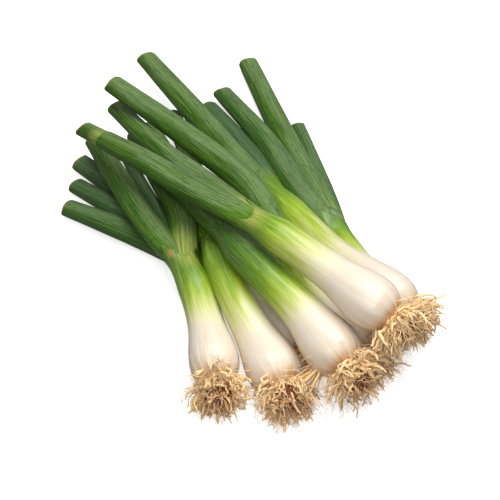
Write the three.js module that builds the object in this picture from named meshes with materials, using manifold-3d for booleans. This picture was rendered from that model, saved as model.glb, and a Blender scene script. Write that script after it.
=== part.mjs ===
// A bunch of eight trimmed spring onions, lying loose on a table in a crossed pile.
// Each onion is a white bulb that runs up into a round shank, one to three hollow green leaves cut off
// square at the top, and a tuft of dry roots below the bulb.
// Millimetres. +Z is up and the table is z = 0. +Y runs from the roots to the cut leaf ends.

import * as THREE from 'three';
import { mergeVertices } from 'three/addons/utils/BufferGeometryUtils.js';
import Module from 'manifold-3d';

const wasm = await Module();
wasm.setup();

// Driving dimensions

const GAP = 0.3; // clear space kept between neighbouring solids
const SLIVER = 0.05; // detail finer than this, left where solids are cut, is smoothed away
const LEAF_WALL = 1.2; // thickness of a hollow leaf's wall
const LEAF_FLATNESS = 0.8; // height of a leaf's section over its width
const LEAF_START = 0.9; // half-width of a leaf where it leaves the shank, as a share of its widest
const LEAF_END = 0.8; // the same at its cut end
const SHANK_SIDES = 14;
const SHANK_SPREAD = 0.06; // how much a shank widens towards its fork
const LEAF_SIDES = 10;
const LEAF_RINGS = 6;
const FORK_DEPTH = 6; // how far inside the shank's end a leaf starts
const ROOT_COUNT = 29; // roots in one tuft
const ROOT_STEPS = 3; // stretches that a root's line is drawn in
const ROOT_DROOP = 0.3; // how much more each stretch of a root turns down
const ROOT_RADIUS = 0.9;
const ROOT_BELLY = 1.7; // how much fuller the middle of a root is than a plain spike's
const ROOT_RING = 4.5; // distance of the outermost roots' feet from the bulb's axis
const TUFT_SPREAD = 1.35; // largest angle between a root's start and the bulb's axis, in radians
const CORE_RADIUS = 5.2; // radius of the pad that the roots grow from
const CORE_FLATNESS = 0.6; // height of that pad over its width
const GOLDEN_ANGLE = 2.39996; // turn from one root's foot to the next
const UP = new THREE.Vector3(0, 0, 1);
const CENTRE = new THREE.Vector3(2.88, 7.68, 0); // middle of the pile in the layout's own coordinates

// The rounding of a bulb's root end: [distance from the root plate, share of the bulb's radius]
const BULB_END = [[0, 0.38], [2, 0.6], [5, 0.8], [10, 0.95], [17, 1]];

// How a bulb draws in to its neck: [distance from the root plate, share of the swelling left]
const BULB_SWELLING = [[17, 1], [26, 0.8], [34, 0.42], [42, 0.18], [52, 0.06], [66, 0], [400, 0]];

// How a shank closes where its leaves come out: [distance from its end, share of its radius]
const SHANK_END = [[0, 0.6], [1.5, 0.87], [5, 1]];

// Places of a shank's rings above the bulb, from the root plate
const SHANK_STATIONS = [26, 34, 42, 52, 66, 95, 118];

// The pile. bulb and neck are radii, roots is the length of the roots, a stem runs from the root plate
// to the fork, and a leaf runs on from the fork to its cut end. Points are [x, y, height of the centre line].
const ONIONS = [
  {
    name: 'onion_1',
    bulb: 14.8,
    neck: 10.3,
    roots: 29,
    stem: [[-72, -103, 13.8], [-64, -84, 13.9], [-51, -42, 19], [-48, -15, 27]],
    leaves: [
      { width: 8.4, path: [[-52, 23, 26], [-49, 67, 24], [-45, 114, 23]] },
      { width: 8.6, path: [[-31, 17, 26], [-21, 67, 17], [-12, 119, 10]] },
      { width: 5, path: [[-39, 33, 18], [-32, 77, 12], [-23, 122, 5]] },
    ],
  },
  {
    name: 'onion_2',
    bulb: 16.2,
    neck: 10.6,
    roots: 29,
    stem: [[-42, -127, 15.1], [-39, -109, 15.2], [-36.5, -67, 25], [-24, -7, 26]],
    leaves: [
      { width: 7.6, path: [[-11, 33, 18], [6, 76, 16], [22, 131, 5]] },
      { width: 7.6, path: [[-9, 56, 5.9], [-1, 100, 5.3], [2, 129, 4.6]] },
    ],
  },
  {
    name: 'onion_3',
    bulb: 16.5,
    neck: 11,
    roots: 28,
    stem: [[-9, -143, 30], [-11, -125, 33], [-15, -97, 40], [-20, -63, 44], [-23, -21, 43]],
    leaves: [{ width: 8, path: [[-23, 14, 37], [-24, 36, 32], [-25, 60, 26]] }],
  },
  {
    name: 'onion_4',
    bulb: 16,
    neck: 10.6,
    roots: 26,
    stem: [[20, -141, 53], [14, -127, 57], [1, -84, 61], [-15, -42, 66.5]],
    leaves: [
      { width: 8.6, path: [[-29, 7, 57], [-38, 42, 53], [-55, 105, 43]] },
      { width: 8.2, path: [[-15, 12, 50], [-19, 60, 40], [-20, 132, 28]] },
    ],
  },
  {
    name: 'onion_5',
    bulb: 15.5,
    neck: 10.2,
    roots: 24,
    stem: [[42, -129, 33], [38, -116, 36], [36, -93, 35], [33, -57, 27], [30, 11, 23]],
    leaves: [
      { width: 9.2, path: [[28, 52, 21], [29, 113, 19], [29, 184, 17]] },
      { width: 8.4, path: [[42, 57, 13], [47, 96, 6.5], [47, 126, 5.2]] },
    ],
  },
  {
    name: 'onion_6',
    bulb: 12.8,
    neck: 9.8,
    roots: 23,
    stem: [[51, -112, 11], [50, -99, 12.3], [50, -58, 11], [54, -31, 11]],
    leaves: [
      { width: 8.4, path: [[49, 6, 21], [58, 61, 15], [63, 133, 7]] },
      { width: 8.8, path: [[61, 3, 15], [71, 50, 10], [97, 155, 5.6]] },
      { width: 7.4, path: [[66, -3, 7], [76, 28, 5.4], [91, 77, 4.6]] },
    ],
  },
  {
    name: 'onion_7',
    bulb: 14.3,
    neck: 10,
    roots: 26,
    stem: [[13, -129, 13.4], [13, -114, 13.4], [13, -70, 15], [11, -31, 32]],
    leaves: [{ width: 9.2, path: [[14, 7, 36], [2, 65, 40], [-20, 134, 47]] }],
  },
  {
    name: 'onion_8',
    bulb: 12.3,
    neck: 9,
    roots: 24,
    stem: [[-11, -106, 13], [-12, -91, 13.3], [-21, -47, 8.6], [-33, -11, 8]],
    leaves: [
      { width: 8.6, path: [[-38, 47, 6.5], [-47, 84, 6], [-56, 118, 5.3]] },
      { width: 7.8, path: [[-46, 34, 9], [-58, 65, 9], [-68, 98, 5]] },
      { width: 8.2, path: [[-52, 22, 10.5], [-68, 49, 11], [-82, 81, 5.2]] },
    ],
  },
];

// Finishes

const BULB_SKIN = { color: 0xe9e4cf, roughness: 0.38, metalness: 0 };
const LEAF_SKIN = { color: 0x3f7a2c, roughness: 0.45, metalness: 0 };
const DRY_ROOT = { color: 0xc9a876, roughness: 0.85, metalness: 0 };

// A repeatable stream of numbers from 0 to 1
function randomStream(seed) {
  let state = seed;
  return () => {
    state = (Math.imul(state, 1664525) + 1013904223) >>> 0;
    return state / 4294967296;
  };
}

// A smooth curve through a list of points
function smoothLine(points) {
  return new THREE.CatmullRomCurve3(points.map((p) => new THREE.Vector3(...p)));
}

// The value at x of a table of [x, value] pairs, by straight lines between them
function between(table, x) {
  const after = table.findIndex((entry) => entry[0] >= x);
  if (after === 0) return table[0][1];
  if (after < 0) return table[table.length - 1][1];
  const [x0, y0] = table[after - 1];
  const [x1, y1] = table[after];
  return y0 + ((y1 - y0) * (x - x0)) / (x1 - x0);
}

// Sideways and upward directions across a curve at a share u of its length
function across(curve, u) {
  const along = curve.getTangentAt(u);
  const side = new THREE.Vector3().crossVectors(along, UP);
  if (side.lengthSq() < 1e-6) side.set(1, 0, 0);
  side.normalize();
  return { side, up: new THREE.Vector3().crossVectors(side, along).normalize() };
}

// A cylinder bent along a curve. stations are shares of its length and section gives [half-width, half-height]
// there. Its ends are moved outwards by grow, and no point goes lower than that under the table.
function bentCylinder(curve, stations, section, sides, grow = 0) {
  const rings = stations.length - 1;
  const geometry = new THREE.CylinderGeometry(1, 1, 1, sides, rings, false, Math.PI / sides);
  const points = geometry.getAttribute('position');
  for (let i = 0; i < points.count; i++) {
    const u = stations[Math.round((points.getY(i) + 0.5) * rings)];
    const [width, height] = section(u);
    const { side, up } = across(curve, u);
    const place = curve.getPointAt(u);
    if (u === 0) place.addScaledVector(curve.getTangentAt(u), -grow);
    if (u === 1) place.addScaledVector(curve.getTangentAt(u), grow);
    place.addScaledVector(side, points.getX(i) * width);
    place.addScaledVector(up, points.getZ(i) * height);
    points.setXYZ(i, place.x, place.y, Math.max(place.z, -grow));
  }
  return geometry;
}

// A closed geometry as a solid that can be cut and joined
function solidOf(geometry) {
  const bare = geometry.clone();
  bare.deleteAttribute('normal');
  bare.deleteAttribute('uv');
  const merged = mergeVertices(bare, 1e-4);
  return new wasm.Manifold(
    new wasm.Mesh({
      numProp: 3,
      vertProperties: merged.getAttribute('position').array,
      triVerts: new Uint32Array(merged.getIndex().array),
    }),
  );
}

// A solid pressed in wherever any of the others touches it
function without(solid, others) {
  return others.reduce((rest, other) => rest.subtract(other), solid);
}

// The largest body of a solid, so that a scrap cut loose is dropped
function largestBody(solid) {
  return solid.decompose().reduce((a, b) => (a.volume() > b.volume() ? a : b));
}

// A solid as a named mesh with a material of its own
function meshOf(solid, name, finish) {
  const { vertProperties, triVerts } = largestBody(solid).asOriginal().simplify(SLIVER).getMesh();
  const geometry = new THREE.BufferGeometry();
  geometry.setAttribute('position', new THREE.BufferAttribute(vertProperties, 3));
  geometry.setIndex(new THREE.BufferAttribute(triVerts, 1));
  geometry.computeVertexNormals();
  const mesh = new THREE.Mesh(geometry, new THREE.MeshStandardMaterial(finish));
  mesh.name = name;
  return mesh;
}

// Radius of a bulb and its shank at a distance from the root plate
function shankRadius(onion, distance, length) {
  if (distance < 17) return onion.bulb * between(BULB_END, distance);
  const swelling = (onion.bulb - onion.neck) * between(BULB_SWELLING, distance);
  const upper = Math.max(0, (distance / length - 0.55) / 0.45);
  return (onion.neck + swelling) * (1 + SHANK_SPREAD * upper);
}

// The bulb and shank of an onion, grown outwards by an even amount
function shankSolid(onion, grow = 0) {
  const curve = smoothLine(onion.stem);
  const length = curve.getLength();
  const lower = BULB_END.map((entry) => entry[0]);
  const upper = SHANK_STATIONS.filter((d) => d < length - 12);
  const ending = SHANK_END.map((entry) => length - entry[0]).reverse();
  const stations = [...lower, ...upper, ...ending].map((d) => d / length);
  const section = (u) => {
    const left = length * (1 - u);
    const radius = shankRadius(onion, u * length, length) * between(SHANK_END, left) + grow;
    return [radius, radius];
  };
  return solidOf(bentCylinder(curve, stations, section, SHANK_SIDES, grow));
}

// The centre line of a leaf, from inside its onion's fork
function leafCurve(onion, leaf) {
  const stem = smoothLine(onion.stem);
  const start = stem.getPoint(1).addScaledVector(stem.getTangent(1), -FORK_DEPTH);
  return smoothLine([start.toArray(), ...leaf.path]);
}

// Half-width and half-height of a leaf at a share u of its length
function leafSection(leaf, u) {
  const swell = Math.sin(Math.min(1, u / 0.35) * (Math.PI / 2));
  const taper = Math.max(0, (u - 0.45) / 0.55);
  const width = leaf.width * (LEAF_START + (1 - LEAF_START) * swell - (1 - LEAF_END) * taper);
  return [width, width * LEAF_FLATNESS];
}

// A leaf as a solid rod, grown outwards by an even amount
function leafRod(onion, leaf, grow = 0) {
  const stations = Array.from({ length: LEAF_RINGS + 1 }, (_, i) => i / LEAF_RINGS);
  const section = (u) => leafSection(leaf, u).map((half) => half + grow);
  return solidOf(bentCylinder(leafCurve(onion, leaf), stations, section, LEAF_SIDES, grow));
}

// The hollow inside a leaf, which runs out through its cut end
function leafHollow(onion, leaf) {
  const curve = leafCurve(onion, leaf);
  const end = curve.getPoint(1).addScaledVector(curve.getTangent(1), 3);
  const longer = smoothLine([...curve.points.map((p) => p.toArray()), end.toArray()]);
  const stations = Array.from({ length: LEAF_RINGS }, (_, i) => (i + 1) / LEAF_RINGS);
  const section = (u) => leafSection(leaf, u).map((half) => half - LEAF_WALL);
  return solidOf(bentCylinder(longer, stations, section, LEAF_SIDES, -LEAF_WALL * 0.8));
}

// One root: a three-sided spike bent along its own line, with its foot sunk into the core
function rootSolid(line) {
  const curve = new THREE.CatmullRomCurve3(line);
  const spike = new THREE.ConeGeometry(1, 1, 3, 2);
  const points = spike.getAttribute('position');
  for (let i = 0; i < points.count; i++) {
    const u = points.getY(i) + 0.5;
    const radius = ROOT_RADIUS * (u > 0.4 ? ROOT_BELLY : 1);
    const { side, up } = across(curve, u);
    const place = curve.getPointAt(u);
    place.addScaledVector(side, points.getX(i) * radius);
    place.addScaledVector(up, points.getZ(i) * radius);
    points.setXYZ(i, place.x, place.y, Math.max(place.z, 0.1));
  }
  return solidOf(spike);
}

// The line of a root that starts at the plate, turned by spread from the bulb's axis and by turn round it
function rootLine(start, axis, side, up, spread, turn, length, random) {
  const outward = new THREE.Vector3()
    .addScaledVector(side, Math.cos(turn))
    .addScaledVector(up, Math.sin(turn));
  const line = [];
  const place = start.clone().addScaledVector(outward, ROOT_RING * Math.sin(spread));
  for (let i = 0; i <= ROOT_STEPS; i++) {
    line.push(place.clone());
    const angle = spread * (1 - 0.28 * i) + (random() - 0.5) * 0.7;
    const heading = new THREE.Vector3()
      .addScaledVector(axis, Math.cos(angle))
      .addScaledVector(outward, Math.sin(angle));
    heading.z -= ROOT_DROOP * i;
    place.addScaledVector(heading.normalize(), length / ROOT_STEPS);
    place.z = Math.max(place.z, ROOT_RADIUS);
  }
  return line;
}

// Keeps a point of one tuft on its own side of the planes halfway to the other tufts
function keepInRoom(point, own, others) {
  for (const other of others) {
    const away = other.clone().sub(own);
    const limit = away.length() / 2 - ROOT_RADIUS - GAP;
    away.normalize();
    const reach = point.clone().sub(own).dot(away);
    if (reach > limit) point.addScaledVector(away, limit - reach);
  }
}

// The middle of an onion's roots, on its axis
function tuftCentre(onion) {
  const curve = smoothLine(onion.stem);
  return curve.getPoint(0).addScaledVector(curve.getTangent(0), -onion.roots * 0.5);
}

// The tuft of an onion: a small core on the root plate with every root sunk into it
function tuftSolid(onion, index) {
  const random = randomStream(7919 * (index + 1));
  const curve = smoothLine(onion.stem);
  const axis = curve.getTangent(0).negate();
  const { side, up } = across(curve, 0);
  const start = curve.getPoint(0).addScaledVector(axis, 1.5);
  const own = tuftCentre(onion);
  const others = ONIONS.filter((other) => other !== onion).map(tuftCentre);
  const core = new THREE.SphereGeometry(CORE_RADIUS, 10, 6);
  core.scale(1, 1, CORE_FLATNESS);
  core.applyQuaternion(new THREE.Quaternion().setFromUnitVectors(UP, axis));
  core.translate(start.x, start.y, start.z);
  const solids = [solidOf(core)];
  for (let i = 0; i < ROOT_COUNT; i++) {
    const spread = TUFT_SPREAD * Math.sqrt((i + 0.5) / ROOT_COUNT);
    const turn = i * GOLDEN_ANGLE + random() * 0.4;
    const length = onion.roots * (0.72 + 0.3 * random());
    const line = rootLine(start, axis, side, up, spread, turn, length, random);
    line.forEach((point) => keepInRoom(point, own, others));
    solids.push(rootSolid(line));
  }
  return wasm.Manifold.union(solids);
}

// A tuft cut flat wherever a root still reaches the plane halfway to another tuft
function trimToRoom(solid, onion) {
  const own = tuftCentre(onion);
  let trimmed = solid;
  for (const other of ONIONS.filter((o) => o !== onion).map(tuftCentre)) {
    const towardsOwn = own.clone().sub(other).normalize();
    const middle = own.clone().add(other).multiplyScalar(0.5).addScaledVector(towardsOwn, GAP / 2);
    trimmed = trimmed.trimByPlane(towardsOwn.toArray(), middle.dot(towardsOwn));
  }
  return trimmed;
}

// The pile

const pile = new THREE.Group();
pile.position.copy(CENTRE).negate();

const grownShanks = ONIONS.map((onion) => shankSolid(onion, GAP));
const grownLeaves = ONIONS.map((onion) => onion.leaves.map((leaf) => leafRod(onion, leaf, GAP)));

ONIONS.forEach((onion, index) => {
  const shank = without(shankSolid(onion), grownShanks.slice(index + 1));
  pile.add(meshOf(shank, `${onion.name}_bulb`, BULB_SKIN));

  onion.leaves.forEach((leaf, number) => {
    const tube = leafRod(onion, leaf).subtract(leafHollow(onion, leaf));
    const sooner = [...grownLeaves.slice(0, index).flat(), ...grownLeaves[index].slice(0, number)];
    const blade = without(tube, [...grownShanks, ...sooner]);
    pile.add(meshOf(blade, `${onion.name}_leaf_${number + 1}`, LEAF_SKIN));
  });

  const tuft = without(trimToRoom(tuftSolid(onion, index), onion), grownShanks);
  pile.add(meshOf(tuft, `${onion.name}_roots`, DRY_ROOT));
});

const bunch = new THREE.Group();
bunch.name = 'spring_onion_bunch';
bunch.add(pile);

export default bunch;
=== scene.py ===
import math
import random

import bpy
import numpy as np
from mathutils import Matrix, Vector
from mathutils.bvhtree import BVHTree


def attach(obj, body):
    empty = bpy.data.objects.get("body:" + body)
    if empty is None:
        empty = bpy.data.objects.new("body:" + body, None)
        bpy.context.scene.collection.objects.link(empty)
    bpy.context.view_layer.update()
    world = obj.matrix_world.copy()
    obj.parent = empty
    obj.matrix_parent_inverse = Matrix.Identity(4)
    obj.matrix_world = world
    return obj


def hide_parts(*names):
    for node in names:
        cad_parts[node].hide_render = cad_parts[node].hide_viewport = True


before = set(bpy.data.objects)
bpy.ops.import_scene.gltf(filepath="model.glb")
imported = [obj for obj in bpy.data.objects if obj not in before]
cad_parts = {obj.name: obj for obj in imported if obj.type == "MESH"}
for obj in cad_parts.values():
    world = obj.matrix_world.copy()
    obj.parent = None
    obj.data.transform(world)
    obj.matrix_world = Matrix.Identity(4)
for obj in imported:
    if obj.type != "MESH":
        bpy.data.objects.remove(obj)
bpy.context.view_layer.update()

# A loose bunch of eight spring onions on a table. Lengths here are in millimetres until a mesh is made.

MM = 0.001
UP = np.array([0.0, 0.0, 1.0])
CENTRE = np.array([2.88, 7.68, 0.0])  # middle of the pile in the layout's own coordinates
GAP = 0.15  # clear space aimed at where one piece presses on another
LOWEST = 0.02  # the least height of a bulb or leaf above the table
LOWEST_ROOT = 0.03
LEAF_SINK = 30.0  # how far inside the shank's end a leaf's centre line starts
FORK_DEPTH = 6.0  # how far inside the shank's end the solid leaf starts
LEAF_WALL = 0.9
LEAF_FLATNESS = 0.8  # height of a leaf's section as a share of its width
LEAF_START = 0.9  # share of a leaf's half-width at the fork
LEAF_END = 0.8  # share of a leaf's half-width at the cut end
LEAF_SIDES = 56
HOLLOW_DEPTH = 50.0  # how far into a leaf its hollow is modelled from the cut end
SHEATH = 0.2  # thickness of the sheath's edge at the fork
SHEATH_RETURN = 6.0  # how far the sheath's inner face runs back into the shank
LEAN_REACH = 10.0  # how much further than the stem's length the first leaf is read, to find the fork's lean
SHANK_SPREAD = 0.06  # how much wider a shank gets towards the fork, as a share
SHANK_SIDES = 96
PLEATS = 13  # pleats round a bulb at the root plate

# The rounding of a bulb's root end: distance from the root plate, share of the bulb's radius
BULB_END = [(0, 0.38), (2, 0.6), (5, 0.8), (10, 0.95), (17, 1.0)]

# How a bulb draws in to its neck: distance from the root plate, share of the swelling left
BULB_SWELLING = [(17, 1.0), (26, 0.8), (34, 0.42), (42, 0.18), (52, 0.06), (66, 0), (400, 0)]

# The pile, as in the solids: bulb and neck are radii, roots is the length of the roots, a stem runs from
# the root plate to the fork, and a leaf runs on from the fork to its cut end. greening says how the white
# turns green: distance from the root plate, and stage from 0 for white to 1 for a dark green leaf. scar is
# how yellow the sheath's edge is, spot the side with a dry brown spot at that edge, cold how blue a leaf is,
# edge the share of a leaf with a dry tan edge, and sleeve the distance from a leaf's cut end to the end of an
# outer layer round it.
ONIONS = [
    dict(
        bulb=14.8, neck=10.3, roots=29, scar=0.9, spot=2.7,
        greening=[(30, 0), (46, 0.18), (56, 0.33), (66, 0.46), (78, 0.6), (92, 0.7)],
        stem=[(-72, -103, 13.8), (-64, -84, 13.9), (-51, -42, 19), (-48, -15, 27)],
        leaves=[
            dict(width=8.4, edge=0.55, path=[(-52, 23, 26), (-49, 67, 24), (-45, 114, 23)]),
            dict(width=8.6, path=[(-31, 17, 26), (-21, 67, 17), (-12, 119, 10)]),
            dict(width=5, cold=0.8, path=[(-39, 33, 18), (-32, 77, 12), (-23, 122, 5)]),
        ],
    ),
    dict(
        bulb=16.2, neck=10.6, roots=29, scar=0.2,
        greening=[(32, 0), (48, 0.16), (62, 0.3), (80, 0.46), (112, 0.66), (125, 0.72)],
        stem=[(-42, -127, 15.1), (-39, -109, 15.2), (-36.5, -67, 25), (-24, -7, 26)],
        leaves=[
            dict(width=7.6, path=[(-11, 33, 18), (6, 76, 16), (22, 131, 5)]),
            dict(width=7.6, path=[(-9, 56, 5.9), (-1, 100, 5.3), (2, 129, 4.6)]),
        ],
    ),
    dict(
        bulb=16.5, neck=11, roots=28, scar=0,
        greening=[(33, 0), (48, 0.25), (58, 0.4), (72, 0.58), (95, 0.76), (115, 0.86)],
        stem=[(-9, -143, 30), (-11, -125, 33), (-15, -97, 40), (-20, -63, 44), (-23, -21, 43)],
        leaves=[dict(width=8, path=[(-23, 14, 37), (-24, 36, 32), (-25, 60, 26)])],
    ),
    dict(
        bulb=16, neck=10.6, roots=26, scar=1,
        greening=[(36, 0), (52, 0.13), (66, 0.27), (80, 0.4), (96, 0.58), (106, 0.66)],
        stem=[(20, -141, 53), (14, -127, 57), (1, -84, 61), (-15, -42, 66.5)],
        leaves=[
            dict(width=8.6, sleeve=21, path=[(-29, 7, 57), (-38, 42, 53), (-55, 105, 43)]),
            dict(width=8.2, path=[(-15, 12, 50), (-19, 60, 40), (-20, 132, 28)]),
        ],
    ),
    dict(
        bulb=15.5, neck=10.2, roots=24, scar=0.4,
        greening=[(32, 0), (62, 0.16), (90, 0.33), (115, 0.46), (142, 0.62)],
        stem=[(42, -129, 33), (38, -116, 36), (36, -93, 35), (33, -57, 27), (30, 11, 23)],
        leaves=[
            dict(width=9.2, path=[(28, 52, 21), (29, 113, 19), (29, 184, 17)]),
            dict(width=8.4, cold=1, path=[(42, 57, 13), (47, 96, 6.5), (47, 126, 5.2)]),
        ],
    ),
    dict(
        bulb=12.8, neck=9.8, roots=23, scar=0.4,
        greening=[(34, 0), (50, 0.25), (66, 0.45), (81, 0.66)],
        stem=[(51, -112, 11), (50, -99, 12.3), (50, -58, 11), (54, -31, 11)],
        leaves=[
            dict(width=8.4, cold=0.3, path=[(49, 6, 21), (58, 61, 15), (63, 133, 7)]),
            dict(width=8.8, path=[(61, 3, 15), (71, 50, 10), (97, 155, 5.6)]),
            dict(width=7.4, cold=0.5, path=[(66, -3, 7), (76, 28, 5.4), (91, 77, 4.6)]),
        ],
    ),
    dict(
        bulb=14.3, neck=10, roots=26, scar=0.2,
        greening=[(36, 0), (60, 0.3), (85, 0.5), (103, 0.7)],
        stem=[(13, -129, 13.4), (13, -114, 13.4), (13, -70, 15), (11, -31, 32)],
        leaves=[dict(width=9.2, path=[(14, 7, 36), (2, 65, 40), (-20, 134, 47)])],
    ),
    dict(
        bulb=12.3, neck=9, roots=24, scar=0.2,
        greening=[(36, 0), (60, 0.3), (85, 0.5), (98, 0.7)],
        stem=[(-11, -106, 13), (-12, -91, 13.3), (-21, -47, 8.6), (-33, -11, 8)],
        leaves=[
            dict(width=8.6, cold=0.9, edge=0.4, path=[(-38, 47, 6.5), (-47, 84, 6), (-56, 118, 5.3)]),
            dict(width=7.8, cold=0.8, edge=0.5, path=[(-46, 34, 9), (-58, 65, 9), (-68, 98, 5)]),
            dict(width=8.2, cold=0.4, path=[(-52, 22, 10.5), (-68, 49, 11), (-82, 81, 5.2)]),
        ],
    ),
]

# Camera: the photograph's viewing angle
TARGET = np.array([-8.0, -30.0, 25.0])  # in the layout's own coordinates
AZIMUTH = math.radians(-30)
ELEVATION = math.radians(45)
DISTANCE = 850.0
LENS = 100.0


def add_camera():
    """A camera at the photograph's angle"""
    back = np.array([
        math.sin(AZIMUTH) * math.cos(ELEVATION),
        -math.cos(AZIMUTH) * math.cos(ELEVATION),
        math.sin(ELEVATION),
    ])
    data = bpy.data.cameras.new("camera")
    data.lens = LENS
    data.sensor_width = 36
    data.clip_end = 20
    camera = bpy.data.objects.new("camera", data)
    camera.location = Vector((TARGET - CENTRE + back * DISTANCE) * MM)
    camera.rotation_euler = Vector(back).to_track_quat("Z", "Y").to_euler()
    bpy.context.collection.objects.link(camera)
    bpy.context.scene.camera = camera


def add_light(name, place, power, size):
    """A square soft light that points at the middle of the bunch"""
    data = bpy.data.lights.new(name, "AREA")
    data.energy = power
    data.size = size
    light = bpy.data.objects.new(name, data)
    light.location = place
    light.rotation_euler = Vector(place).to_track_quat("Z", "Y").to_euler()
    bpy.context.collection.objects.link(light)


def add_studio():
    """A white floor that throws no light back at the bunch, a white surround and soft lights"""
    bpy.ops.mesh.primitive_plane_add(size=8)
    floor = bpy.context.object
    floor.name = "floor"
    floor.location.z = -0.0002
    paper = bpy.data.materials.new("floor_paper")
    paper.use_nodes = True
    shader = paper.node_tree.nodes["Principled BSDF"]
    shader.inputs["Base Color"].default_value = (0.93, 0.93, 0.92, 1)
    shader.inputs["Roughness"].default_value = 0.9
    shader.inputs["Specular IOR Level"].default_value = 0.1
    shader.inputs["Emission Color"].default_value = (1, 1, 1, 1)
    shader.inputs["Emission Strength"].default_value = 0.6
    floor.data.materials.append(paper)
    floor.visible_diffuse = False
    floor.visible_glossy = False
    world = bpy.data.worlds.new("surround")
    world.use_nodes = True
    world.node_tree.nodes["Background"].inputs["Color"].default_value = (1, 1, 1, 1)
    world.node_tree.nodes["Background"].inputs["Strength"].default_value = 0.34
    bpy.context.scene.world = world
    add_light("overhead", (0.26, 0.05, 1.15), 15, 0.9)
    add_light("front", (-0.4, -0.66, 0.95), 5.5, 0.5)
    bpy.context.scene.view_settings.view_transform = "Standard"


# Curves

def smooth_points(points):
    """Closely spaced points on the smooth curve through a list of points"""
    given = np.array(points, float)
    full = np.vstack([2 * given[0] - given[1], given, 2 * given[-1] - given[-2]])
    share = np.linspace(0, 1, 60, endpoint=False)[:, None]
    dense = []
    for i in range(1, len(full) - 2):
        a, b, c, d = full[i - 1:i + 3]
        ab, bc, cd = (math.sqrt(np.linalg.norm(q - p)) for p, q in ((a, b), (b, c), (c, d)))
        leave = ((b - a) / ab - (c - a) / (ab + bc) + (c - b) / bc) * bc
        reach = ((c - b) / bc - (d - b) / (bc + cd) + (d - c) / cd) * bc
        square = share ** 2
        cube = share ** 3
        dense.append(
            (2 * cube - 3 * square + 1) * b + (cube - 2 * square + share) * leave
            + (3 * square - 2 * cube) * c + (cube - square) * reach
        )
    dense.append(full[-2:-1])
    return np.vstack(dense)


class Line:
    """A curve that is read by its distance from the start, and runs on straight past both ends"""

    def __init__(self, points):
        dense = smooth_points(points)
        steps = np.linalg.norm(np.diff(dense, axis=0), axis=1)
        distance = np.concatenate([[0], np.cumsum(steps)])
        self.length = distance[-1]
        self.marks = np.arange(0, self.length, 1.0)
        self.marks = np.append(self.marks, self.length)
        places = np.stack([np.interp(self.marks, distance, dense[:, k]) for k in range(3)], 1)
        along = np.gradient(places, self.marks, axis=0)
        along /= np.linalg.norm(along, axis=1)[:, None]
        self.places = places
        self.along = along
        side = np.cross(along, UP)
        side /= np.linalg.norm(side, axis=1)[:, None]
        self.side = side
        self.up = np.cross(side, along)

    def read(self, values, s):
        return np.stack([np.interp(s, self.marks, values[:, k]) for k in range(3)], -1)

    def at(self, s):
        """Place, direction, side and up at a distance (a number or an array)"""
        s = np.asarray(s, float)
        place = self.read(self.places, s)
        along = self.read(self.along, s)
        over = s - np.clip(s, 0, self.length)
        place = place + along * over[..., None]
        return place, along, self.read(self.side, s), self.read(self.up, s)


def soft_table(table, s, spread=1.5):
    """The value at s of a table of pairs, with its corners rounded"""
    offsets = np.array([-1.5, -1, -0.5, 0, 0.5, 1, 1.5]) * spread
    weights = np.exp(-((offsets / spread) ** 2))
    x, y = zip(*table)
    total = sum(w * np.interp(np.abs(s + o), x, y) for w, o in zip(weights, offsets))
    return total / weights.sum()


def ease(a, b, x):
    """0 below a, 1 above b and smooth between"""
    t = np.clip((x - a) / (b - a), 0, 1)
    return t * t * (3 - 2 * t)


def waves(theta, s, seed, counts, pitch):
    """A gentle relief round and along a stem, about -1 to 1"""
    stream = random.Random(seed)
    total = 0
    for count in counts:
        phase = stream.uniform(0, 6.28)
        drift = stream.uniform(-1, 1) / pitch
        total = total + np.sin(count * theta + phase + drift * s) * (0.6 + 0.4 * np.sin(s / pitch + phase))
    return total / len(counts)


# Meshes

def grid_faces(rings, sides, first=0):
    """Quads of a tube whose rings follow each other"""
    ring, side = np.meshgrid(np.arange(rings - 1), np.arange(sides), indexing="ij")
    a = first + ring * sides + side
    b = first + ring * sides + (side + 1) % sides
    return np.stack([a, b, b + sides, a + sides], -1).reshape(-1, 4)


def oval(place, side, up, turn, width, height):
    """Points at each turn round each place, on ovals of these half-widths and half-heights"""
    across = side * (np.cos(turn) * width)[..., None]
    above = up * (np.sin(turn) * height)[..., None]
    return place + across + above


def make_object(name, points, faces, attributes, material):
    """A smooth-shaded mesh object from points in the layout's millimetres"""
    mesh = bpy.data.meshes.new(name)
    placed = (points - CENTRE) * MM
    mesh.from_pydata(placed.tolist(), [], faces)
    for key, values in attributes.items():
        kind = "FLOAT_VECTOR" if values.ndim == 2 else "FLOAT"
        layer = mesh.attributes.new(key, kind, "POINT")
        field = "vector" if values.ndim == 2 else "value"
        layer.data.foreach_set(field, values.astype(np.float32).ravel())
    mesh.polygons.foreach_set("use_smooth", [True] * len(mesh.polygons))
    mesh.materials.append(material)
    mesh.update()
    piece = bpy.data.objects.new(name, mesh)
    bpy.context.collection.objects.link(piece)
    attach(piece, "root")
    return piece


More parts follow.
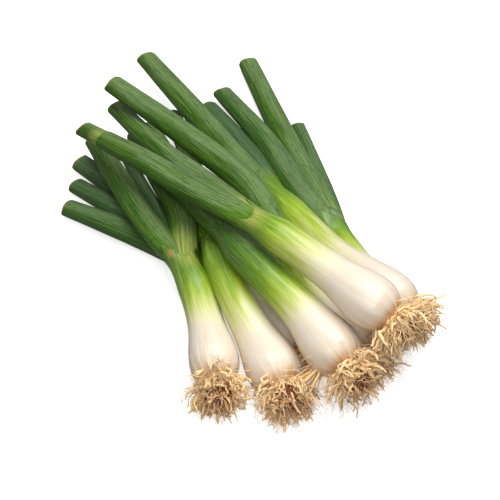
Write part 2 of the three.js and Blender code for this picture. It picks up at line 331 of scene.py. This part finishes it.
class Skin:
    """A tube-like surface round a centre line: its points, faces and the values painted on them.
    centres has the place on the centre line that each point stands out from, depth is how far each lies
    under the outer surface, and hull is the faces of the outer surface alone, closed."""

    def __init__(self, points, faces, paint, centres=None, depth=None, hull=None):
        self.points = points
        self.faces = faces
        self.paint = paint
        self.centres = centres
        self.depth = depth
        self.hull = hull
        self.tree = None
        self.low = points.min(0)
        self.high = points.max(0)

    def bvh(self):
        if self.tree is None:
            self.tree = BVHTree.FromPolygons(self.points.tolist(), self.hull)
        return self.tree

    def press(self, other):
        """Dents this surface, towards its own centre line, where a ray from that line enters another.
        Points whose own centre already lies inside the other stay where they are."""
        near = ((self.points > other.low - GAP) & (self.points < other.high + GAP)).all(1)
        tree = other.bvh()
        for i in np.where(near)[0]:
            centre = Vector(self.centres[i])
            ray = Vector(self.points[i]) - centre
            reach = ray.length + self.depth[i]
            if reach < 0.5:
                continue
            ray.normalize()
            place, normal, _, distance = tree.ray_cast(centre, ray, reach + GAP)
            if place is not None and normal.dot(ray) < 0:
                self.points[i] = centre + ray * max(0.3, distance - GAP - self.depth[i])


def shank_profile(onion, s, length):
    """Radius of a bulb and its shank at a distance from the root plate"""
    swelling = (onion["bulb"] - onion["neck"]) * soft_table(BULB_SWELLING, s, 4)
    body = onion["neck"] + swelling
    rounding = soft_table(BULB_END + [(400, 1.0)], s)
    upper = np.clip((s / length - 0.55) / 0.45, 0, 1.2)
    return body * rounding * (1 + SHANK_SPREAD * upper)


def leaf_line(onion, leaf):
    """The centre line of a leaf, which starts deep inside the shank, and the distance of the solid's start"""
    stem = Line(onion["stem"])
    start, along, _, _ = stem.at(stem.length - FORK_DEPTH)
    away = np.array(leaf["path"][0], float) - start
    away -= along * away.dot(along)
    lean = away / max(np.linalg.norm(away), 1e-6) * min(2.4, 0.25 * np.linalg.norm(away))
    deep = stem.at(stem.length - LEAF_SINK)[0]
    line = Line([deep, start + lean * 0.8, *leaf["path"]])
    return line, LEAF_SINK - FORK_DEPTH


def stage_at(onion, distance, fork):
    """How green the skin is at a distance from the root plate: white 0, dark green leaf 1"""
    last = onion["greening"][-1][1]
    return soft_table(onion["greening"], distance, 3) + (1 - last) * ease(fork - 8, fork + 45, distance)


def bloom_and_sheen_at(turn, distance, stage, seed):
    """How thick the waxy coat is, laid only on the upper side where the light falls, so it is partly a
    painted sheen; none on the white
    """
    side = np.cos(turn - 1.1 - 0.3 * np.sin(distance / 31 + seed)) + 0.1 * np.sin(distance / 9 + 2 * seed)
    return ease(-0.15, 1.0, side) * ease(0.5, 0.85, stage)


def leaf_half(leaf, u):
    """Half-width of a leaf at a share of its length from the fork"""
    swell = np.sin(np.clip(u / 0.35, 0, 1) * math.pi / 2)
    taper = np.clip((u - 0.45) / 0.55, 0, 1)
    return leaf["width"] * (LEAF_START + (1 - LEAF_START) * swell - (1 - LEAF_END) * taper)


def shank_skin(onion, index):
    """The bulb and shank: a smooth swelling, faint lobes and a thin sheath that hugs the leaves"""
    line = Line(onion["stem"])
    length = line.length
    theta = np.arange(SHANK_SIDES) / SHANK_SIDES * 2 * math.pi
    lower = np.array([0, 0.6, 1.3, 2.1, 3, 4, 5.2, 6.5, 8])
    rows = np.concatenate([lower, np.arange(9.5, length - 1, 1.25), [length]])
    leaves = [leaf_line(onion, leaf) for leaf in onion["leaves"]]
    first = leaves[0][0].at(length + LEAN_REACH)[0] - line.at(length)[0]
    _, _, side_end, up_end = line.at(length)
    lean = math.atan2(first.dot(up_end), first.dot(side_end))
    rim = 20 * np.cos((theta - lean) / 2) ** 2 - 3 + 0.8 * np.sin(theta * 3 + index)
    s = rows[:, None] * (1 + rim[None, :] / length * ease(0.6, 1, rows / length)[:, None])
    turn = np.broadcast_to(theta, s.shape)
    radius = shank_profile(onion, s, length)
    radius = radius * (1 + 0.012 * waves(turn, s, index, (2, 3, 5), 30))
    pleats = np.cos(PLEATS * turn + 1.5 * np.sin(3 * turn + index)) * (1 - ease(2, 26, s))
    radius = radius * (1 + 0.012 * pleats)
    place, along, side, up = line.at(s)
    hug = np.zeros_like(s)
    for (leaf_curve, _), leaf in zip(leaves, onion["leaves"]):
        spot = leaf_curve.at(s - (length - LEAF_SINK))[0] - place
        spot_x = (spot * side).sum(-1)
        spot_y = (spot * up).sum(-1)
        reach = leaf["width"] * LEAF_START + SHEATH
        along_ray = spot_x * np.cos(turn) + spot_y * np.sin(turn)
        across_ray = spot_y * np.cos(turn) - spot_x * np.sin(turn)
        hit = np.sqrt(np.clip(reach ** 2 - across_ray ** 2, 0.5, None)) + along_ray
        hug = np.maximum(hug, hit)
    tight = ease(length - 26, length - 2, s)
    radius = radius * (1 - tight) + np.minimum(hug, radius * 1.25) * tight
    outer = oval(place, side, up, turn, radius, radius)
    outward = side[-1:] * np.cos(turn[-1:, :, None]) + up[-1:] * np.sin(turn[-1:, :, None])
    tip = outer[-1:] - outward * SHEATH
    inner = tip - along[-1:] * SHEATH_RETURN
    grid = np.concatenate([outer, tip, inner])
    rings = len(grid)
    points = grid.reshape(-1, 3)
    faces = grid_faces(rings, SHANK_SIDES).tolist()
    plate = len(points)
    points = np.vstack([points, line.at(0.4)[0][None], inner[0].mean(0)[None]])
    faces += [[(k + 1) % SHANK_SIDES, k, plate] for k in range(SHANK_SIDES)]
    last = (rings - 1) * SHANK_SIDES
    faces += [[last + k, last + (k + 1) % SHANK_SIDES, plate + 1] for k in range(SHANK_SIDES)]
    points[:, 2] = np.maximum(points[:, 2], LOWEST)
    centres = np.concatenate([place, place[-1:], place[-1:] - along[-1:] * SHEATH_RETURN]).reshape(-1, 3)
    centres = np.vstack([centres, points[-2:]])
    depth = np.zeros(len(points))
    depth[len(outer) * SHANK_SIDES:-2] = SHEATH
    s_all = np.concatenate([s, s[-1:], s[-1:] - SHEATH_RETURN]).ravel()
    s_all = np.append(s_all, [0, length])
    turn_all = np.tile(theta, rings)
    turn_all = np.append(turn_all, [0, 0])
    stage = stage_at(onion, s_all, length)
    from_rim = s_all - length - np.append(np.tile(rim, rings), [0, 0])
    dry = 0.9 * (1 - ease(0.5, 7, s_all)) + 0.25 * (1 - ease(3, 16, s_all))
    if "spot" in onion:
        beside = ease(0.95, 0.995, np.cos(turn_all - onion["spot"]))
        dry = dry + 0.9 * beside * (1 - ease(1, 4, np.abs(s_all - length - 2)))
    paint = dict(
        flow=np.stack([np.cos(turn_all), np.sin(turn_all), s_all * 0.01 + index * 3.7], 1),
        stage=stage,
        bloom_and_sheen=bloom_and_sheen_at(turn_all, s_all, stage, index),
        scar=onion["scar"] * ease(-15, -2, from_rim) * ease(0, 0.8, -np.cos(turn_all - lean)),
        cold=np.zeros(len(points)),
        # Painted shade: under is the share of beige tint on the lower side of the bulb and shank
        under=0.8 * (1 - ease(-0.9, 0.7, np.sin(turn_all))),
        dry=dry,
        inside=np.zeros(len(points)),
    )
    return Skin(points, faces, paint, centres, depth, faces)


def leaf_skin(onion, leaf, index, number):
    """A hollow leaf: faint folds along it, an uneven cut end with a thin rim, and the hollow inside it"""
    line, start = leaf_line(onion, leaf)
    length = line.length
    run = length - start
    seed = index * 10 + number
    stream = random.Random(seed)
    theta = np.arange(LEAF_SIDES) / LEAF_SIDES * 2 * math.pi
    slant = stream.uniform(0, 6.28)
    cut = 0.7 * np.cos(theta - slant) - 1.2 * np.sin(theta) + 0.25 * np.sin(3 * theta + seed)
    sleeve = length - leaf.get("sleeve", 0)
    edge_rows = [sleeve - 1.1, sleeve - 0.3, sleeve, sleeve + 0.5] if "sleeve" in leaf else []
    rows = np.concatenate([np.arange(8, length - 1.5, 2.0), [length - 0.8, length - 0.15, length], edge_rows])
    rows = np.sort(rows)
    s = rows[:, None] + cut[None, :] * ease(0.8, 1, rows / length)[:, None]
    turn = np.broadcast_to(theta, s.shape)
    u = (s - start) / run
    half = leaf_half(leaf, u)
    buried = leaf["width"] * LEAF_START
    half = half + (buried - half) * (1 - ease(start - 4, start + 20, s))
    flat = LEAF_FLATNESS + (1 - LEAF_FLATNESS) * (1 - ease(start - 10, start + 30, s))
    flat = flat - 0.06 * ease(length - 45, length, s)
    folds = 0.045 * waves(turn, s, seed + 50, (2, 3, 4, 7), 45)
    half = half * (1 + folds) * (1 - 0.09 * ease(sleeve - 0.4, sleeve + 0.2, rows)[:, None])
    place, _, side, up = line.at(s)
    outer = oval(place, side, up, turn, half, half * flat)
    hollow = rows > length - HOLLOW_DEPTH
    inside_half = half[hollow] - LEAF_WALL
    inside_height = (half * flat)[hollow] - LEAF_WALL
    inner = oval(place[hollow], side[hollow], up[hollow], turn[hollow], inside_half, inside_height)[::-1]
    grid = np.concatenate([outer, inner])
    rings = len(grid)
    points = grid.reshape(-1, 3)
    faces = grid_faces(rings, LEAF_SIDES).tolist()
    points = np.vstack([points, outer[0].mean(0)[None], inner[-1].mean(0)[None]])
    root = rings * LEAF_SIDES
    faces += [[(k + 1) % LEAF_SIDES, k, root] for k in range(LEAF_SIDES)]
    last = (rings - 1) * LEAF_SIDES
    faces += [[last + k, last + (k + 1) % LEAF_SIDES, root + 1] for k in range(LEAF_SIDES)]
    points[:, 2] = np.maximum(points[:, 2], LOWEST)
    centres = np.vstack([place.reshape(-1, 3), place[hollow][::-1].reshape(-1, 3), points[-2:]])
    depth = np.zeros(len(points))
    depth[len(outer) * LEAF_SIDES:-2] = LEAF_WALL
    end_cap = [(len(outer) - 1) * LEAF_SIDES + k for k in range(LEAF_SIDES)]
    hull = grid_faces(len(outer), LEAF_SIDES).tolist()
    hull += [[(k + 1) % LEAF_SIDES, k, root] for k in range(LEAF_SIDES)] + [end_cap]
    s_all = np.append(np.concatenate([s, s[hollow][::-1]]).ravel(), [0, length - HOLLOW_DEPTH])
    turn_all = np.append(np.tile(theta, rings), [0, 0])
    end = np.append(np.tile(length + cut, rings), [length, length])
    inside = np.zeros(len(points))
    inside[len(outer) * LEAF_SIDES:rings * LEAF_SIDES] = 1
    inside[-1] = 1
    stem_length = Line(onion["stem"]).length
    distance = s_all - LEAF_SINK + stem_length
    after_sleeve = 0.0
    if "sleeve" in leaf:
        after_sleeve = ease(sleeve - 0.3, sleeve + 0.3, s_all) * (1 - ease(sleeve + 3, sleeve + 12, s_all))
        after_sleeve = after_sleeve * (0.25 + 0.5 * ease(-0.6, 0.6, np.cos(turn_all - 3)))
    past = ease(1 - leaf.get("edge", 0), 1.15 - leaf.get("edge", 0), s_all / length)
    dry_edge = 0.8 * past * ease(0.93, 0.99, np.cos(turn_all - 3.5))
    stage = stage_at(onion, distance, stem_length)
    paint = dict(
        flow=np.stack([np.cos(turn_all), np.sin(turn_all), s_all * 0.01 + seed * 2.3], 1),
        stage=stage,
        bloom_and_sheen=bloom_and_sheen_at(turn_all, distance, stage, index),
        scar=onion["scar"] * (1 - ease(6, 24, distance - stem_length)) * (number > 0) + after_sleeve,
        cold=np.full(len(points), float(leaf.get("cold", 0))),
        dry=(0.75 * ease(-1.3, -0.2, s_all - end) + dry_edge) * (1 - inside),
        inside=inside,
    )
    return Skin(points, faces, paint, centres, depth, hull)


# Roots

ROOT_STEPS = 11
ROOT_RING = 4.6  # radius of the ring on the root plate that the widest roots leave from
GOLDEN_ANGLE = 2.39996  # the turn from one root to the next round the bulb's axis, before its random share
SHADE_CORE_REACH = 0.46  # how far the dark ball of painted shade in a tuft's middle reaches, as a share of its roots' length

# Kinds of root: how many, thinnest and thickest radius, shortest and longest share of the roots' length,
# how much they curl, how wide they spread from the bulb's axis and how pale they are
ROOT_KINDS = [
    dict(count=130, radius=(0.75, 1.2), length=(0.6, 0.98), curl=0.75, spread=1.25, pale=(0.1, 0.7), sides=6),
    dict(count=100, radius=(0.35, 0.6), length=(0.6, 1.0), curl=0.75, spread=1.3, pale=(0.2, 0.9), sides=4),
    dict(count=300, radius=(0.1, 0.18), length=(0.75, 1.22), curl=0.8, spread=1.5, pale=(0.6, 1.0), sides=3),
]


def root_centre(onion):
    """The middle of an onion's roots, on its axis"""
    place, along, _, _ = Line(onion["stem"]).at(0)
    return place - along * onion["roots"] * 0.5


def root_line(start, axis, side, up, stream, spread, turn, length, curl):
    """A curled line that leaves the root plate and droops"""
    outward = side * math.cos(turn) + up * math.sin(turn)
    place = start + outward * ROOT_RING * math.sin(min(spread, 1.57))
    points = [place.copy()]
    wander = np.zeros(3)
    for i in range(ROOT_STEPS):
        angle = spread * (1.05 - 0.6 * i / ROOT_STEPS)
        heading = axis * math.cos(angle) + outward * math.sin(angle)
        wander = wander * 0.6 + np.array([stream.gauss(0, 1) for _ in range(3)]) * curl
        heading = heading + wander
        heading = heading - axis * min(0, heading.dot(axis) + 0.2)
        heading[2] -= 0.7 * i / ROOT_STEPS
        place = place + heading / np.linalg.norm(heading) * length / ROOT_STEPS
        points.append(place.copy())
    return np.array(points)


def clear_of(points, shanks, radius):
    """Moves points of a root out of every bulb"""
    for i in range(1, len(points)):
        for shank in shanks:
            low, high = shank.low, shank.high
            if (points[i] < low).any() or (points[i] > high).any():
                continue
            place, normal, _, distance = shank.bvh().find_nearest(Vector(points[i]), 25)
            if place is not None and ((Vector(points[i]) - place).dot(normal) < 0 or distance < radius):
                points[i] = place + normal * radius
    return points


def keep_in_room(points, own, others):
    """Keeps the points of one tuft on its own side of the planes halfway to the other tufts"""
    for other in others:
        away = other - own
        limit = np.linalg.norm(away) / 2 + 1.0
        away = away / np.linalg.norm(away)
        over = np.clip((points - own) @ away - limit, 0, None)
        points = points - over[:, None] * away
    return points


def tube_points(points, radii, sides):
    """Rings round a line"""
    along = np.gradient(points, axis=0)
    along /= np.linalg.norm(along, axis=1)[:, None] + 1e-9
    helper = np.where(np.abs(along[:, 2:3]) > 0.9, np.array([[1.0, 0, 0]]), UP[None])
    side = np.cross(along, helper)
    side /= np.linalg.norm(side, axis=1)[:, None]
    up = np.cross(side, along)
    theta = np.arange(sides) / sides * 2 * math.pi
    rings = (
        points[:, None]
        + side[:, None] * (np.cos(theta)[None, :, None] * radii[:, None, None])
        + up[:, None] * (np.sin(theta)[None, :, None] * radii[:, None, None])
    )
    return rings.reshape(-1, 3)


def tuft_shade_core(start, axis, side, up, roots):
    """A dark lumpy ball in front of the root plate, in the middle of a tuft: painted shade that stands in for
    the shade among the roots
    """
    rings, sides = 8, 14
    polar_marks = np.linspace(0.05, math.pi - 0.05, rings)
    turn_marks = np.arange(sides) / sides * 2 * math.pi
    polar, turn = np.meshgrid(polar_marks, turn_marks, indexing="ij")
    lumps = 1 + 0.12 * np.sin(3 * turn + 2 * polar) + 0.1 * np.cos(5 * turn - polar)
    wide = roots * 0.29 * lumps
    middle = start + axis * roots * SHADE_CORE_REACH * 0.5
    points = (
        middle
        + axis * (-np.cos(polar) * roots * SHADE_CORE_REACH * 0.62)[..., None]
        + side * (np.sin(polar) * np.cos(turn) * wide)[..., None]
        + up * (np.sin(polar) * np.sin(turn) * wide)[..., None]
    )
    faces = grid_faces(rings, sides).tolist()
    faces += [list(range(sides))[::-1], [(rings - 1) * sides + k for k in range(sides)]]
    return points.reshape(-1, 3), faces


def tuft(onion, index, shanks):
    """Every root and hair of an onion, with its paint"""
    stream = random.Random(4000 + index)
    base, along, side, up = Line(onion["stem"]).at(0)
    axis = -along
    start = base + axis * 0.5
    own = root_centre(onion)
    others = [root_centre(other) for other in ONIONS if other is not onion]
    share = np.linspace(0, 1, ROOT_STEPS + 1)
    # A dark ball of painted shade in the middle of the tuft, marked by a tint of -1
    shade_core, faces = tuft_shade_core(start, axis, side, up, onion["roots"])
    shade_core = clear_of(keep_in_room(shade_core, own, others), shanks, 0.4)
    blocks = [shade_core]
    reaches = [np.zeros(len(shade_core))]
    tints = [np.full(len(shade_core), -1.0)]
    count = len(shade_core)
    for kind in ROOT_KINDS:
        sides = kind["sides"]
        tube_faces = grid_faces(ROOT_STEPS + 1, sides)
        for i in range(kind["count"]):
            spread = kind["spread"] * math.sqrt(stream.random()) + 0.02
            turn = i * GOLDEN_ANGLE + stream.random()
            length = onion["roots"] * stream.uniform(*kind["length"])
            radius = stream.uniform(*kind["radius"])
            points = root_line(start, axis, side, up, stream, spread, turn, length, kind["curl"])
            points = clear_of(keep_in_room(points, own, others), shanks, radius + 0.2)
            points[:, 2] = np.maximum(points[:, 2], radius)
            radii = radius * (1 - 0.5 * share ** 2) * (1 + 0.15 * np.sin(share * 19 + i))
            radii[0] *= 1.25
            blocks.append(tube_points(points, radii, sides))
            faces += (tube_faces + count).tolist()
            faces.append([count + k for k in range(sides)][::-1])
            faces.append([count + ROOT_STEPS * sides + k for k in range(sides)])
            count += (ROOT_STEPS + 1) * sides
            reaches.append(np.repeat(share, sides))
            tints.append(np.full((ROOT_STEPS + 1) * sides, stream.uniform(*kind["pale"])))
    points = np.vstack(blocks)
    points[:, 2] = np.maximum(points[:, 2], LOWEST_ROOT)
    # Painted shade: deep grows towards the middle of the tuft, where the root colour darkens
    from_middle = np.linalg.norm(points - own, axis=1) / onion["roots"]
    deep = 1 - ease(0.22, 0.52, from_middle)
    return Skin(points, faces, dict(reach=np.concatenate(reaches), tint=np.concatenate(tints), deep=deep))


# Materials

def tone(red, green, blue):
    """A colour given as 0 to 255 on a screen, as the shader wants it"""
    def linear(value):
        value = value / 255
        return value / 12.92 if value <= 0.04 else ((value + 0.055) / 1.055) ** 2.4
    return (linear(red), linear(green), linear(blue), 1)


class Paint:
    """Adds shader nodes to a material, one call for each"""

    def __init__(self, name):
        self.material = bpy.data.materials.new(name)
        self.material.use_nodes = True
        self.tree = self.material.node_tree
        self.shader = self.tree.nodes["Principled BSDF"]

    def put(self, socket, value):
        if isinstance(value, bpy.types.NodeSocket):
            self.tree.links.new(value, socket)
        else:
            socket.default_value = value

    def value(self, name):
        node = self.tree.nodes.new("ShaderNodeAttribute")
        node.attribute_name = name
        return node.outputs["Fac"]

    def vector(self, name):
        node = self.tree.nodes.new("ShaderNodeAttribute")
        node.attribute_name = name
        return node.outputs["Vector"]

    def stretched(self, vector, scale):
        node = self.tree.nodes.new("ShaderNodeMapping")
        self.put(node.inputs["Vector"], vector)
        node.inputs["Scale"].default_value = scale
        return node.outputs["Vector"]

    def noise(self, vector, scale, detail=3.0, rough=0.55):
        node = self.tree.nodes.new("ShaderNodeTexNoise")
        self.put(node.inputs["Vector"], vector)
        node.inputs["Scale"].default_value = scale
        node.inputs["Detail"].default_value = detail
        node.inputs["Roughness"].default_value = rough
        return node.outputs["Fac"]

    def calc(self, operation, a, b):
        node = self.tree.nodes.new("ShaderNodeMath")
        node.operation = operation
        self.put(node.inputs[0], a)
        self.put(node.inputs[1], b)
        return node.outputs[0]

    def spread(self, value, low, high, to_low=0.0, to_high=1.0):
        node = self.tree.nodes.new("ShaderNodeMapRange")
        self.put(node.inputs["Value"], value)
        node.inputs["From Min"].default_value = low
        node.inputs["From Max"].default_value = high
        node.inputs["To Min"].default_value = to_low
        node.inputs["To Max"].default_value = to_high
        return node.outputs["Result"]

    def mix(self, share, a, b):
        node = self.tree.nodes.new("ShaderNodeMix")
        node.data_type = "RGBA"
        node.clamp_factor = True
        self.put(node.inputs[0], share)
        self.put(node.inputs[6], a)
        self.put(node.inputs[7], b)
        return node.outputs[2]

    def ramp(self, value, stops):
        node = self.tree.nodes.new("ShaderNodeValToRGB")
        self.put(node.inputs["Fac"], value)
        marks = node.color_ramp.elements
        while len(marks) < len(stops):
            marks.new(0.5)
        for mark, (place, colour) in zip(marks, stops):
            mark.position = place
            mark.color = colour
        return node.outputs["Color"]

    def bump(self, height, strength, distance):
        node = self.tree.nodes.new("ShaderNodeBump")
        self.put(node.inputs["Height"], height)
        node.inputs["Strength"].default_value = strength
        node.inputs["Distance"].default_value = distance
        self.put(self.shader.inputs["Normal"], node.outputs["Normal"])


SKIN_STOPS = [
    (0.0, tone(222, 211, 196)),
    (0.1, tone(220, 214, 180)),
    (0.24, tone(194, 200, 116)),
    (0.4, tone(150, 174, 28)),
    (0.56, tone(104, 144, 8)),
    (0.76, tone(68, 112, 14)),
    (1.0, tone(48, 86, 12)),
]


def plant_skin(name, roughness, gloss, glow):
    """Bulb and leaf skin: white to dark green by its stage, streaked along its length"""
    paint = Paint(name)
    flow = paint.vector("flow")
    stage = paint.value("stage")
    streaks = paint.noise(paint.stretched(flow, (1, 1, 0.45)), 5, 6, 0.66)
    fibres = paint.noise(paint.stretched(flow, (1, 1, 0.2)), 16, 4, 0.65)
    patches = paint.noise(paint.stretched(flow, (1, 1, 1.1)), 2.4, 3)
    crumple = paint.noise(paint.stretched(flow, (1, 1, 2.2)), 7, 4, 0.6)
    sway = paint.calc("ADD", paint.spread(streaks, 0.3, 0.7, -0.08, 0.08),
                      paint.spread(patches, 0.3, 0.7, -0.1, 0.1))
    sway = paint.calc("ADD", sway, paint.spread(fibres, 0.35, 0.65, -0.07, 0.07))
    turned = paint.calc("MULTIPLY", sway, paint.spread(stage, 0.0, 0.25))
    colour = paint.ramp(paint.calc("ADD", stage, turned), SKIN_STOPS)
    # Cream tint from random patches, which are real tone, plus painted shade on the lower side from under
    warm = paint.calc("ADD", paint.spread(patches, 0.4, 0.72, 0, 0.4), paint.value("under"))
    cream_and_shade = paint.calc("MULTIPLY", warm, paint.spread(stage, 0.0, 0.3, 0.8, 0.0))
    colour = paint.mix(cream_and_shade, colour, tone(222, 196, 158))
    vein = paint.calc("MULTIPLY", paint.spread(streaks, 0.56, 0.74), paint.spread(stage, 0.0, 0.3, 0.25, 0.0))
    colour = paint.mix(vein, colour, tone(205, 180, 140))
    ripple = paint.calc("MULTIPLY", paint.spread(fibres, 0.52, 0.66), paint.spread(stage, 0.1, 0.4, 0.0, 0.6))
    colour = paint.mix(paint.calc("MULTIPLY", ripple, paint.spread(stage, 0.5, 0.8, 1.0, 0.4)), colour,
                       tone(184, 204, 104))
    # Waxy coat: a real grey-green colour, but laid only on the upper lit side, so it is also a painted sheen
    veil = paint.calc("ADD", paint.value("bloom_and_sheen"), paint.spread(streaks, 0.3, 0.7, -0.3, 0.3))
    veil = paint.calc("ADD", veil, paint.spread(patches, 0.3, 0.7, -0.2, 0.2))
    bloom_and_sheen = paint.spread(veil, 0.4, 0.95)
    colour = paint.mix(paint.calc("MULTIPLY", bloom_and_sheen, 0.55), colour, tone(122, 143, 96))
    cold = paint.calc("MULTIPLY", paint.value("cold"), paint.spread(stage, 0.4, 0.9, 0.0, 0.6))
    colour = paint.mix(cold, colour, tone(58, 86, 66))
    # Painted shade in the fine grooves: darker green where the fibres noise is low, as it is where the bump
    # sinks
    groove_shade_mask = paint.spread(fibres, 0.5, 0.38)
    dark = paint.calc("MULTIPLY", groove_shade_mask, paint.spread(stage, 0.15, 0.7, 0.0, 0.7))
    shade = paint.mix(paint.spread(stage, 0.3, 0.8), tone(120, 146, 40), tone(34, 66, 16))
    colour = paint.mix(dark, colour, shade)
    # Painted shade in the creases: darker green where the crumple noise is low, as it is where the crease
    # bump sinks
    crease_shade = paint.calc("MULTIPLY", paint.spread(crumple, 0.46, 0.34), paint.spread(stage, 0.3, 0.8, 0.0, 0.65))
    colour = paint.mix(crease_shade, colour, tone(40, 72, 20))
    scar = paint.calc("MULTIPLY", paint.value("scar"), paint.spread(streaks, 0.34, 0.62))
    colour = paint.mix(paint.calc("MULTIPLY", scar, 0.75), colour, tone(184, 186, 92))
    colour = paint.mix(paint.value("inside"), colour, tone(150, 172, 96))
    dry = paint.calc("MULTIPLY", paint.value("dry"), paint.spread(streaks, 0.35, 0.6, 0.25, 1.0))
    colour = paint.mix(dry, colour, tone(186, 134, 66))
    paint.put(paint.shader.inputs["Base Color"], colour)
    paint.put(paint.shader.inputs["Roughness"], paint.spread(bloom_and_sheen, 0, 1, roughness, roughness + 0.15))
    paint.shader.inputs["Specular IOR Level"].default_value = gloss
    if glow:
        paint.shader.inputs["Coat Weight"].default_value = 0.18
        paint.shader.inputs["Coat Roughness"].default_value = 0.18
        paint.shader.inputs["Subsurface Weight"].default_value = glow
        paint.shader.inputs["Subsurface Radius"].default_value = (1.0, 0.8, 0.5)
        paint.shader.inputs["Subsurface Scale"].default_value = 0.003
    height = paint.calc("ADD", streaks, paint.calc("MULTIPLY", fibres, 0.8))
    crease = paint.calc("MULTIPLY", crumple, paint.spread(stage, 0.2, 0.8, 0.0, 1.5))
    height = paint.calc("ADD", height, crease)
    paint.bump(height, 0.6, 0.0006)
    return paint.material


def root_skin():
    """Dry roots: orange-brown at the plate, straw along the strands and pale hairs"""
    paint = Paint("dry_root")
    reach = paint.value("reach")
    tint = paint.value("tint")
    place = paint.tree.nodes.new("ShaderNodeTexCoord").outputs["Object"]
    mottle = paint.noise(place, 420, 3)
    colour = paint.ramp(reach, [
        (0.0, tone(200, 122, 44)),
        (0.12, tone(234, 174, 92)),
        (0.5, tone(255, 216, 150)),
        (1.0, tone(244, 206, 148)),
    ])
    colour = paint.mix(paint.calc("MULTIPLY", tint, 0.75), colour, tone(244, 222, 184))
    colour = paint.mix(paint.spread(mottle, 0.5, 0.75, 0, 0.6), colour, tone(180, 118, 62))
    # Painted shade: darker orange-brown deeper inside the tuft
    colour = paint.mix(paint.calc("MULTIPLY", paint.value("deep"), 0.4), colour, tone(164, 88, 18))
    # Painted shade: the ball in the middle of the tuft, whose tint is -1, turns dark brown
    colour = paint.mix(paint.spread(tint, -0.2, -0.8), colour, tone(104, 50, 10))
    paint.put(paint.shader.inputs["Base Color"], colour)
    paint.shader.inputs["Roughness"].default_value = 0.8
    paint.bump(mottle, 0.4, 0.0003)
    return paint.material


# The bunch

add_camera()
add_studio()
bulb_material = plant_skin("bulb_skin", 0.3, 0.5, 0.35)
leaf_material = plant_skin("green_leaf", 0.38, 0.2, 0)
root_material = root_skin()

shanks = [shank_skin(onion, index) for index, onion in enumerate(ONIONS)]
for index, shank in enumerate(shanks):
    for other in shanks[index + 1:]:
        shank.press(other)
    shank.low = shank.points.min(0)
    shank.high = shank.points.max(0)

placed_leaves = []
for index, onion in enumerate(ONIONS):
    name = f"onion_{index + 1}"
    bulb = make_object(f"bulb_{index + 1}", shanks[index].points, shanks[index].faces,
                       shanks[index].paint, bulb_material)
    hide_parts(f"{name}_bulb")
    own_leaves = []
    for number, leaf in enumerate(onion["leaves"]):
        skin = leaf_skin(onion, leaf, index, number)
        for other, shank in enumerate(shanks):
            if other != index:
                skin.press(shank)
        for earlier in placed_leaves:
            skin.press(earlier)
        own_leaves.append(skin)
        blade = make_object(f"leaf_{index + 1}_{number + 1}", skin.points, skin.faces,
                            skin.paint, leaf_material)
        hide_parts(f"{name}_leaf_{number + 1}")
    placed_leaves += own_leaves
    skin = tuft(onion, index, shanks)
    roots = make_object(f"roots_{index + 1}", skin.points, skin.faces, skin.paint, root_material)
    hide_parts(f"{name}_roots")
